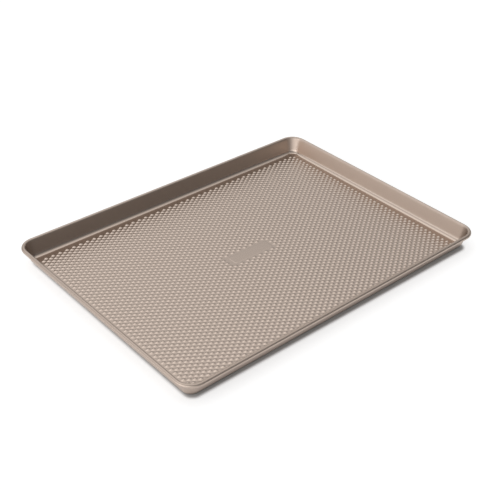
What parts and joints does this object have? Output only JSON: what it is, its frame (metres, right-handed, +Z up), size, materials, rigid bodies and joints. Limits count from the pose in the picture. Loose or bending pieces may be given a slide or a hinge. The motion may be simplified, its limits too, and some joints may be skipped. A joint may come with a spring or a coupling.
{
  "type": "half sheet pan",
  "caption": "Shallow rectangular baking tray pressed from one coated steel sheet, with sloping walls, rounded corners and a rim rolled round a steel wire.",
  "frame": {"origin": "centre of the flat underside, on the surface that the pan stands on", "axes": "+Z up out of the open side, +X along the long sides, +Y along the short sides"},
  "size_m": [0.4572, 0.334, 0.0227],
  "materials": {
    "pan_coating": "satin champagne non-stick coating with a metallic look, on steel",
    "wire_steel": "drawn bright steel wire"
  },
  "bodies": {
    "root": {"pressed_pan": "pan_coating", "rim_wire": "wire_steel"}
  },
  "joints": []
}
